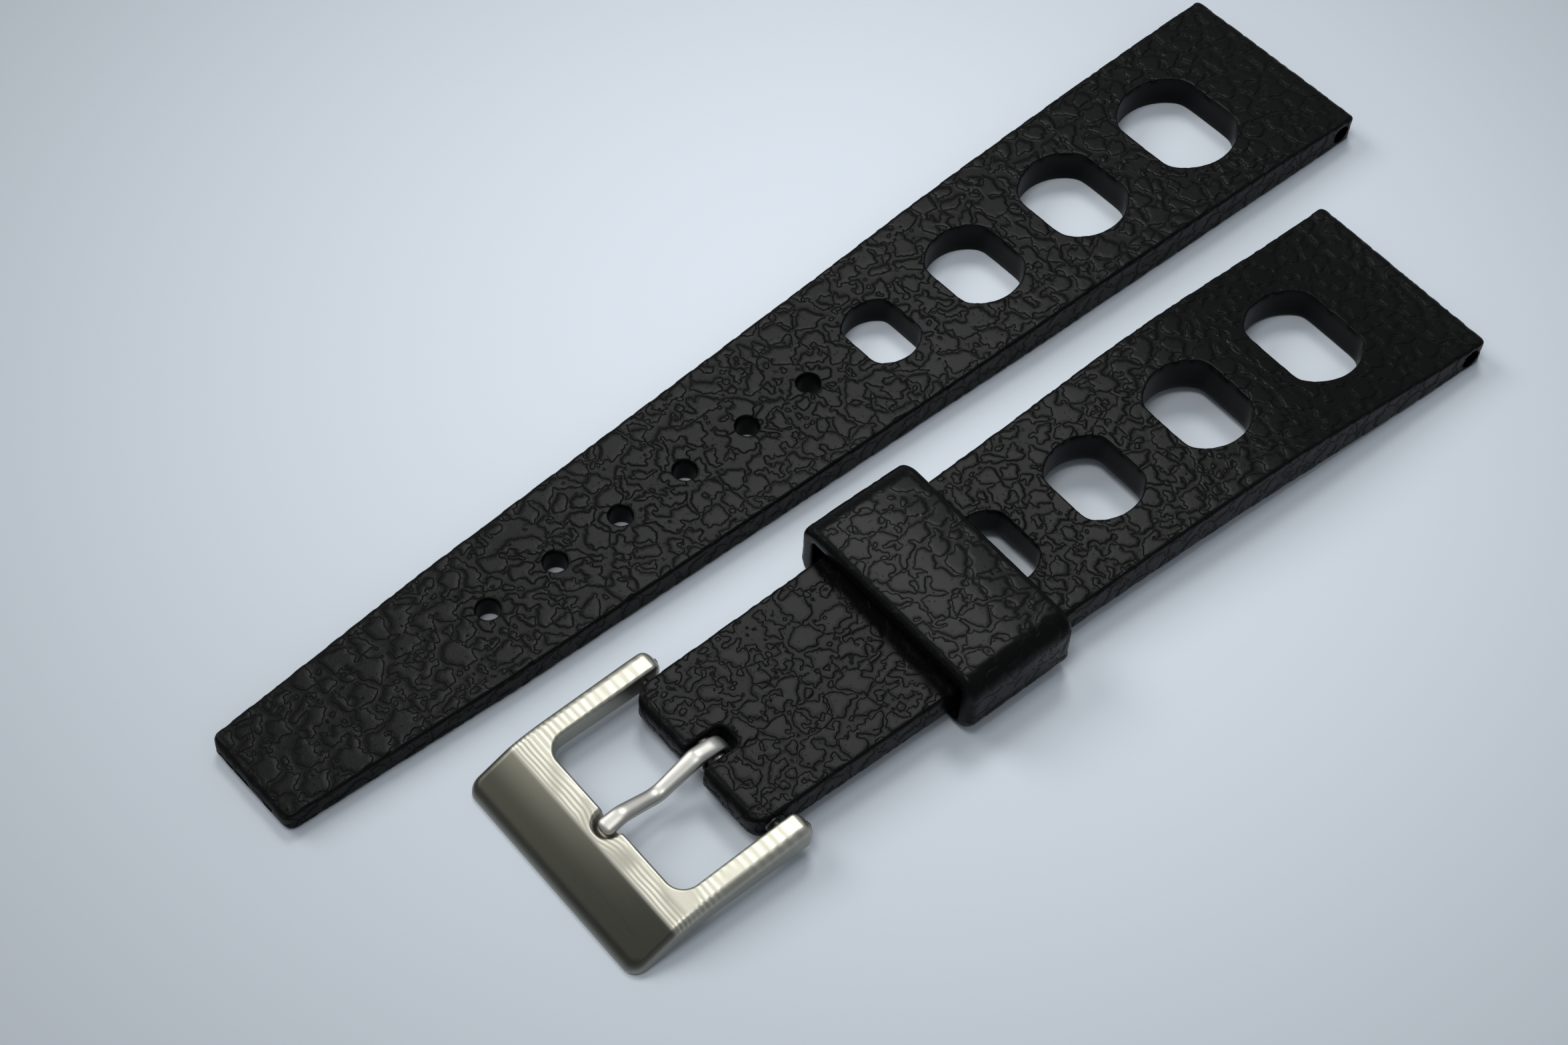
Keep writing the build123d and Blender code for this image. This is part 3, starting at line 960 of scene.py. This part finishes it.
def buckle_mesh_made():
    """Half of the frame, mirrored: top and underside in three patches each, and the wall round them."""
    corner_x, corner_y = frame_front + frame_corner, arm_outer - frame_corner
    tip_x, tip_high, tip_low = arm_tip - arm_tip_round, arm_outer - arm_tip_round, arm_inner + arm_tip_round
    inner_x, inner_y = window_edge + window_corner, arm_inner - window_corner
    bar_steps, arm_steps = round(inner_y / frame_step), round((tip_x - inner_x) / frame_step)
    end_steps, turn_steps, side_steps, across, tip_arc = 14, 12, 40, 30, 20
    concave_points, concave_normals = arc((inner_x, inner_y), window_corner, 90, 180,
                                          end_steps + turn_steps + side_steps)
    outline, normals, ends = chain([
        run((frame_front, 0), (frame_front, inner_y), bar_steps, (-1, 0)),
        run((frame_front, inner_y), (frame_front, corner_y), end_steps, (-1, 0)),
        arc((corner_x, corner_y), frame_corner, 180, 90, turn_steps),
        run((corner_x, arm_outer), (inner_x, arm_outer), side_steps, (0, 1)),
        run((inner_x, arm_outer), (tip_x, arm_outer), arm_steps, (0, 1)),
        arc((tip_x, tip_high), arm_tip_round, 90, 0, tip_arc),
        run((arm_tip, tip_high), (arm_tip, tip_low), across - tip_arc, (1, 0)),
        arc((tip_x, tip_low), arm_tip_round, 0, -90, tip_arc),
        run((tip_x, arm_inner), (inner_x, arm_inner), arm_steps, (0, -1)),
        (concave_points, -concave_normals),
        run((window_edge, inner_y), (window_edge, 0), bar_steps, (1, 0)),
    ])
    front_end, corner_start, _, side_end, arm_end, _, tip_end, inner_start, inner_end, window_start, _ = ends
    tip_start, tip_stop = arm_end + tip_arc // 2, tip_end + tip_arc // 2
    way = walked(outline)
    edge = np.interp(way, way[[tip_end, inner_start]], [outer_edge_round, inner_edge_round])
    foot_edge = np.interp(way, way[[corner_start, side_end]], [foot_edge_round, inner_edge_round])
    skin = side_skin(outline, normals, frame_top, frame_foot, edge, foot_edge,
                     frame_edge_rows, frame_wall_rows)
    skin_share = np.zeros(skin.shape[:2])
    skin_share[:frame_edge_rows + 1] = [[1 - drop] for _, drop in quarter(frame_edge_rows)]
    grids = [(skin, skin_share)]
    for radius, height in ((edge, frame_top), (foot_edge, frame_foot)):
        inset = outline - normals * radius[:, None]
        front, window = inset[:front_end + 1], inset[window_start:][::-1]
        outer_turn, inner_turn = inset[front_end:side_end + 1], inset[inner_end:window_start + 1][::-1]
        outer_arm, inner_arm = inset[side_end:tip_start + 1], inset[tip_stop:inner_end + 1][::-1]
        cuts = [line(near, far, across) for near, far in (
            (front[0], window[0]), (front[-1], window[-1]), (outer_turn[-1], inner_turn[-1]))]
        for plan in (patch(front, window, cuts[0], cuts[1]), patch(outer_turn, inner_turn, cuts[1], cuts[2]),
                     patch(outer_arm, inner_arm, cuts[2], inset[tip_start:tip_stop + 1])):
            grids.append((lift(plan, height), np.full(plan.shape[:2], float(height is frame_top))))
    return sew("buckle_steel_frame", grids)


def brushing_group():
    """Fine scratches of a brushed surface: two noises drawn out along the way of the brush."""
    tree, given = start_group("fine brushing", Place="Vector", Stretch="Vector")
    drawn = vector_maths("MULTIPLY", given["Place"], given["Stretch"])
    both = plus(noise_at(drawn, brush_fine_cell), noise_at(drawn, brush_broad_cell, detail=2.0))
    return end_group(tree, Marks=times(both, 0.5))


def steel_material(name, colour, roughness, stretch, depth):
    """Brushed steel, its roughness and its normal shifted a little by the marks."""
    made, tree, shader, place = new_material(name)
    marks = shared_outputs(tree, brushing, Place=place, Stretch=stretch)["Marks"]
    feed(shader, {
        "Base Color": (*colour, 1),
        "Metallic": 1.0,
        "Roughness": spread(marks, roughness - brush_roughening, roughness + brush_roughening, *brush_marks),
        "Normal": bump_of(marks, depth),
    })
    return made, shader, place, marks


def add_milled_steps(shader, place, marks):
    """Gives the frame its milled steps, its darker plate and the tone between them; the plate's colour is a
    painted reflection, the steps' bright and dark bands are painted highlight and shade over their real
    relief, and the walls are painted in shade.

    The steps are a cosine of a phase that grows with the logarithm of the distance from the
    ridge, so they widen from the ridge to the arms' tips. The lines bow round the notch.
    """
    tree = shader.id_data
    split = add_node(tree, "ShaderNodeSeparateXYZ", {0: vector_maths("SUBTRACT", place, tuple(bar_place))})
    top = grain_share_of(tree)
    bow = times(ramp(maths("ABSOLUTE", split["Y"]), *step_bow_reach), step_bow)
    wave = times(signed_noise(place, step_wave_cell), step_wave)
    from_ridge = maths("MAXIMUM", minus(plus(plus(split["X"], bow), wave), ridge_x), 0.0)
    grown = plus(times(from_ridge, step_growth / step_pitch), 1.0)
    phase = times(maths("LOGARITHM", grown, math.e), 2 * math.pi / step_growth)
    crest = plus(times(maths("COSINE", phase), 0.5), 0.5)
    plate, milled, beyond, before = (ramp(split["X"], *edge) for edge in (
        plate_edge, milled_edge, plain_start, plain_stop))
    plate, milled = times(top, plate), times(top, milled)
    patchy = ramp(noise_at(place, step_patch_cell, detail=1.0), *step_patch_edge)
    arms = spread(split["X"], 0.0, 1 - arm_contrast, *arm_start)
    crest = maths("MAXIMUM", times(crest, patchy), times(times(beyond, before), 0.5))
    milling = times(crest, milled)
    # Past here the crest only colours the steps: on the arms their bands of painted highlight and shade are
    # weaker.
    crest = plus(times(crest, minus(1.0, arms)), times(arms, arm_level))
    # Painted reflection on the plate: paler by the ridge, darker towards the front and towards the end where
    # y is negative.
    down_plate = ramp(split["X"], ridge_x, plate_front)
    across_plate = ramp(split["Y"], -arm_outer, arm_outer)
    plate_painted_reflection = blend_colour(down_plate, plate_painted_reflection_by_ridge, plate_painted_reflection_by_front)
    plate_painted_reflection = blend_colour(across_plate, plate_painted_reflection_dim, plate_painted_reflection)
    # Painted highlight on the steps' crests and painted shade in their troughs; the walls and the underside
    # get the darker wall colour, painted shade.
    tone = blend_colour(milled, wall_painted_shade, blend_colour(crest, step_painted_shade, step_painted_highlight))
    feed(shader, {
        "Base Color": blend_colour(plate, tone, plate_painted_reflection),
        "Normal": bump_of(plus(milling, times(marks, brush_height)), step_height),
    })


brush_fine_cell = 0.09 * MM
brush_broad_cell = 0.5 * MM
brush_marks = (0.3, 0.7)
brush_roughening = 0.05
brush_height = 0.1
ridge_x = -11.8 * MM
plate_edge = (ridge_x + 0.1 * MM, ridge_x - 0.35 * MM)
plate_front = frame_front + 1.5 * MM
milled_edge = (ridge_x - 0.1 * MM, ridge_x + 0.15 * MM)
plain_start = (ridge_x + 1.0 * MM, ridge_x + 1.7 * MM)
plain_stop = (window_edge + 1.2 * MM, window_edge - 0.2 * MM)
step_pitch = 0.33 * MM
step_growth = 0.06
step_bow = 0.45 * MM
step_bow_reach = (2.4 * MM, 0.3 * MM)
step_wave_cell = 2.6 * MM
step_wave = 0.12 * MM
step_patch_cell = 3.5 * MM
step_patch_edge = (0.25, 0.6)
arm_start = (ridge_x + 1.5 * MM, ridge_x + 5 * MM)
arm_contrast = 0.45
arm_level = 0.6
step_height = 0.013 * MM
# Painted shade and painted highlight of the milled steps, and painted shade on the walls.
step_painted_shade = (0.29, 0.28, 0.23, 1)
step_painted_highlight = (0.58, 0.565, 0.475, 1)
wall_painted_shade = (0.33, 0.325, 0.285, 1)
# Colours of the plate's painted reflection.
plate_painted_reflection_by_ridge = (0.14, 0.137, 0.107, 1)
plate_painted_reflection_by_front = (0.05, 0.049, 0.039, 1)
plate_painted_reflection_dim = (0.036, 0.036, 0.029, 1)

brushing = brushing_group()
buckle_mesh = buckle_mesh_made()
move_points(buckle_mesh, mesh_points(buckle_mesh) + bar_place)
buckle_steel, *finish = steel_material(
    "buckle steel", colour=(0.5, 0.49, 0.44), roughness=0.4, stretch=(1, 0.06, 1), depth=0.004 * MM)
add_milled_steps(*finish)
buckle = piece("buckle_steel_frame", buckle_mesh, buckle_steel)
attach(buckle, "buckle")
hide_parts("buckle_frame")


# Tang
# A strip of polished steel, bent round the spring bar into an eye, then cranked down and up again.
# Its tip is pressed a little wider and curls down into the buckle's notch.

tang_eye = 1.22 * MM
tang_leaf = [(0.0, 1.25), (-1.6, 1.25), (-5.4, -0.35), (-8.9, 0.45), (-10.9, 0.0)]
tang_bend_rounds = [1.6, 2.2, 1.5]
tang_widths = [(0.0, 1.2), (6.0, 1.5), (8.0, 1.64), (11.0, 1.45), (13.0, 1.4), (15.5, 1.55), (18.3, 1.76)]
tang_thicknesses = [(0.0, 0.55), (6.0, 0.56), (7.8, 0.92), (12.5, 0.95), (18.5, 0.8)]
tang_end_round = 1.5
tang_end_width = 0.15
tang_eye_start = -205
tang_eye_stop = 88
tang_eye_steps = 89
tang_steps = 189
tang_smoothings = 6
tang_section_steps = 40
tang_section_power = 2.5


def tang_path():
    """Centre line in x and z: most of a turn round the bar, then straight runs with eased bends.

    Gives the distance along it to each of its points, and the points.
    """
    eye = arc((0, 0), tang_eye, tang_eye_start, tang_eye_stop, tang_eye_steps)[0]
    rounds = [0.0] + tang_bend_rounds + [0.0]
    leaf = rounded_profile([(x, z, radius) for (x, z), radius in zip(tang_leaf, rounds)]).T[::-1]
    centre = np.concatenate([eye, leaf[1:]])
    way = walked(centre)
    even = np.linspace(0, way[-1], tang_steps + 1)
    centre = np.stack([np.interp(even, way, centre[:, axis]) for axis in (0, 1)], -1)
    for _ in range(tang_smoothings):
        centre[1:-1] = (centre[:-2] + 2 * centre[1:-1] + centre[2:]) / 4
    return even, centre


def tang_mesh_made():
    """A rounded section carried along the centre line, closed at both ends.

    The section is |y / half width| ** power + |z / half thickness| ** power = 1, and near each end
    it shrinks as an ellipse does.
    """
    way, centre = tang_path()
    along = np.gradient(centre, axis=0)
    along /= np.linalg.norm(along, axis=1)[:, None]
    normal = np.stack([along[:, 1], -along[:, 0]], -1)
    half_wide, half_thick = (np.interp(way, *(np.array(sizes).T * MM)) / 2
                             for sizes in (tang_widths, tang_thicknesses))
    from_end = np.minimum(way, way[-1] - way) / (tang_end_round * half_thick)
    shrink = np.sqrt(np.clip(1 - (1 - np.clip(from_end, 0, 1)) ** 2, 0, 1))
    turn = np.linspace(0, 2 * math.pi, tang_section_steps + 1)
    across, up = (np.sign(wave) * np.abs(wave) ** (2 / tang_section_power)
                  for wave in (np.cos(turn), np.sin(turn)))
    section = centre[:, None] + normal[:, None] * (half_thick * shrink)[:, None, None] * up[None, :, None]
    end_share = (tang_end_width + (1 - tang_end_width) * shrink) * (shrink > 0)
    wide = (half_wide * end_share)[:, None] * across
    surface = np.stack([section[..., 0], wide, section[..., 1]], -1)
    return sew("tang_steel_strip", [(surface, np.zeros(surface.shape[:2]))], mirrored=False)


tang_mesh = tang_mesh_made()
move_points(tang_mesh, mesh_points(tang_mesh) + bar_place)
tang_steel = steel_material(
    "tang steel", colour=(0.44, 0.43, 0.395), roughness=0.41, stretch=(0.08, 1, 0.3), depth=0.002 * MM)[0]
tang = piece("tang_steel_strip", tang_mesh, tang_steel)
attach(tang, "tang")
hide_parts("buckle_tang")


# Spring bar
# A sprung steel bar inside the buckle end: a tube, the coil in it and a plunger at each end.
# Almost all of it is hidden in the rubber and between the buckle's arms.

# The bar's steel is painted dark: painted shade for where it shows in the gaps between the rubber and the
# buckle's arms.
bar_steel_painted_dark = steel_material(
    "bar steel in painted shade", colour=(0.12, 0.117, 0.11), roughness=0.4, stretch=(1, 0.1, 1), depth=0.003 * MM)[0]
for name in ("spring_bar_tube", "spring_bar_plunger_left", "spring_bar_plunger_right", "spring_bar_spring"):
    bpy.data.objects[name].data.materials.clear()
    bpy.data.objects[name].data.materials.append(bar_steel_painted_dark)


# Long half of the strap
# The same rubber and the same grain, with four larger vents and six round holes for the tang.
# It lies flat beside the other half, turned a little, and narrows to a squared tip.

long_length = 118.8 * MM
long_waist = 40.392 * MM
long_tail_start = 97.416 * MM
long_tail_half_width = 6.4 * MM
long_tip_half_width = 4.95 * MM
long_tip_corner = 1.0 * MM
long_tip_height = 2.1 * MM
long_shoulder = 20.2 * MM
long_level = 51.1 * MM
tang_hole_margin = 1.2 * MM
long_vents = [(13.9, 5.55, 4.65), (27.6, 4.95, 4.2), (40.0, 4.4, 3.7), (51.3, 3.45, 2.75)]
tang_holes = [(59.9 + 7 * number, 1.05, 1.25) for number in range(6)]


def long_bottom(xy):
    """Underside: level on the floor, rounded up at both ends."""
    return ends_drop(-xy[..., 0], long_length)


def long_top(xy):
    """Top: a parabola through lug end, shoulder and level, then a straight run to the tip."""
    x = -xy[..., 0]
    along = np.array([0.0, long_shoulder, long_level])
    curve = np.polyfit(along / MM, np.array([lug_height, shoulder_height, level_height]), 2)
    run_down = np.interp(x, [long_level, long_length], [level_height, long_tip_height])
    level = np.where(x < long_level, np.polyval(curve, x / MM), run_down)
    return level - ends_drop(x, long_length)


def long_half_mesh():
    """The whole holed half: blocks round all ten holes, one patch for the plain tip, and the side skin."""
    holes = np.array(long_vents + tang_holes) * MM
    pieces, corner_y = half_outline(
        [(0, lug_half_width), (long_waist, waist_half_width), (long_tail_start, long_tail_half_width),
         (long_length, long_tip_half_width)], holes, tang_hole_margin, long_tip_corner)
    outline, normals, ends = chain(pieces + [
        run((-long_length, corner_y), (-long_length, 0), round(corner_y / mesh_step), (-1, 0))])
    skin, skin_share, inset = strap_skin(outline, normals, long_top, long_bottom)
    side_start, corner_start = ends[1 + len(holes):3 + len(holes)]
    corner_middle = corner_start + corner_steps // 2
    side_line = inset[side_start:corner_middle + 1]
    far_line = inset[corner_middle:][::-1]
    near_line = line((side_line[0, 0], 0), side_line[0], len(far_line) - 1)
    middle = line((side_line[0, 0], 0), far_line[0], len(side_line) - 1)
    grids = holed_part(inset, ends, near_line, holes, long_top, long_bottom)
    grids += both_faces(patch(near_line, far_line, middle, side_line), long_top, long_bottom)
    return sew("long_half_rubber", grids + [(skin, skin_share)])


long_place = half_place("long_lug_bore")
long_mesh = long_half_mesh()
place_half(long_mesh, *long_place)
press_grain(long_mesh, grain_depth)
long_half = piece("long_half_rubber", long_mesh, strap_rubber)
bore(long_half, *mount_place("long_lug_bore"), "long lug tunnel")
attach(long_half, "long_half")
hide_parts("long_strap")


# Table, light and camera
# A pale matt table under two soft windows and a soft ceiling lamp, seen as the photograph was taken.

camera_target = Vector((-10.286, 2.26, 0.0)) * MM
camera_turn = math.radians(-42.593)
camera_rise = math.radians(54.652)
camera_roll = math.radians(3.347)
camera_distance = 240.05 * MM
camera_lens = 65.818
table_reach = 3.0
# Painted light on the table: a pale pool round this place, fading over this reach to the darker far colour
# as painted falloff.
painted_light_pool_place = (0.008, 0.011, 0.0)
painted_light_pool_reach = 0.127
painted_light_pool_colour = (0.72, 0.772, 0.827, 1)
# The far colour is the darker end of the table's painted falloff, and also the room's colour for camera,
# glossy and transmission rays.
table_far = (0.31, 0.335, 0.365, 1)
room_light = (0.86, 0.93, 1.0, 1)
room_strength = 0.39

level = Vector((math.sin(camera_turn), -math.cos(camera_turn), 0.0))
back = level * math.cos(camera_rise) + Vector((0, 0, math.sin(camera_rise)))
right = (-back).cross(Vector((0, 0, 1))).normalized()
right = Matrix.Rotation(camera_roll, 3, back) @ right
above = back.cross(right)
camera = bpy.data.objects.new("camera", bpy.data.cameras.new("camera"))
camera.matrix_world = Matrix.Translation(camera_target + back * camera_distance) @ Matrix(
    (right, above, back)).transposed().to_4x4()
camera.data.lens = camera_lens
camera.data.clip_start = 0.01
bpy.context.scene.collection.objects.link(camera)
bpy.context.scene.camera = camera

table_mesh = bpy.data.meshes.new("table")
table_corners = [(x * table_reach, y * table_reach, 0) for x, y in ((-1, -1), (1, -1), (1, 1), (-1, 1))]
table_mesh.from_pydata(table_corners, [], [(0, 1, 2, 3)])
table_paint, _, shader, place = new_material("table paint")
# Painted light: paler in a pool round one point of the table, darker further out.
from_painted_pool = vector_maths("DISTANCE", place, painted_light_pool_place, "Value")
feed(shader, {
    "Base Color": blend_colour(ramp(from_painted_pool, 0.0, painted_light_pool_reach), painted_light_pool_colour, table_far),
    "Roughness": 0.6,
    "Specular IOR Level": 0.2,
})
table = piece("table", table_mesh, table_paint)

world = bpy.data.worlds.new("room")
bpy.context.scene.world = world
world.use_nodes = True
rays = world.node_tree.nodes.new("ShaderNodeLightPath").outputs
seen = maths("MAXIMUM", rays["Is Camera Ray"], rays["Is Glossy Ray"])
seen = maths("MAXIMUM", seen, rays["Is Transmission Ray"])
feed(world.node_tree.nodes["Background"], {
    "Color": blend_colour(seen, room_light, table_far),
    "Strength": spread(seen, room_strength, 1.0),
})

for name, size, watts, spot in (("window", 0.42, 6.8, (0.545, 0.6, 1.33)),
                                ("side window", 0.6, 6.45, (-0.37, 0.93, 0.87)),
                                ("ceiling", 0.42, 4.3, (-0.3, 0.05, 1.38))):
    lamp = bpy.data.objects.new(name, bpy.data.lights.new(name, "AREA"))
    lamp.data.size = size
    lamp.data.energy = watts
    turn = (-Vector(spot)).to_track_quat("-Z", "Y").to_matrix().to_4x4()
    lamp.matrix_world = Matrix.Translation(spot) @ turn
    bpy.context.scene.collection.objects.link(lamp)

bpy.context.scene.view_settings.view_transform = "Standard"
